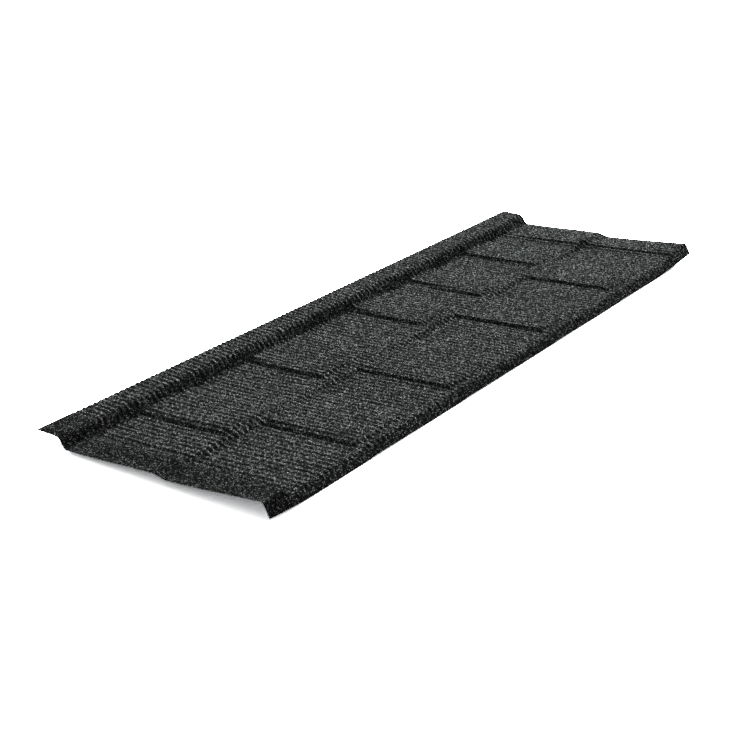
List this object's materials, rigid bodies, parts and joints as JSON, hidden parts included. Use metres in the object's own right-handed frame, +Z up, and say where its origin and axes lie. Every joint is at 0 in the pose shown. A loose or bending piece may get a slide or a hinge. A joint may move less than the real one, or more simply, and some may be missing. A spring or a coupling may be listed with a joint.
{
  "type": "granule-coated steel roofing tile sheet",
  "caption": "Pressed steel roofing sheet with a stone-granule coat: two stepped courses of raised shingle tabs, a batten flange, a down-turned nose and side laps",
  "frame": {"origin": "centre of the bounding box's base, on the floor that the unheld sheet rests on", "axes": "+X along the batten from the underlap end to the overlap end, +Y up the roof from the nose to the batten flange, +Z up"},
  "size_m": [1.335, 0.4162, 0.0277],
  "materials": {
    "granule_coat": "matt charcoal stone granules with light flecks, bonded to coated steel"
  },
  "bodies": {
    "root": {"roof_sheet": "granule_coat"}
  },
  "joints": []
}
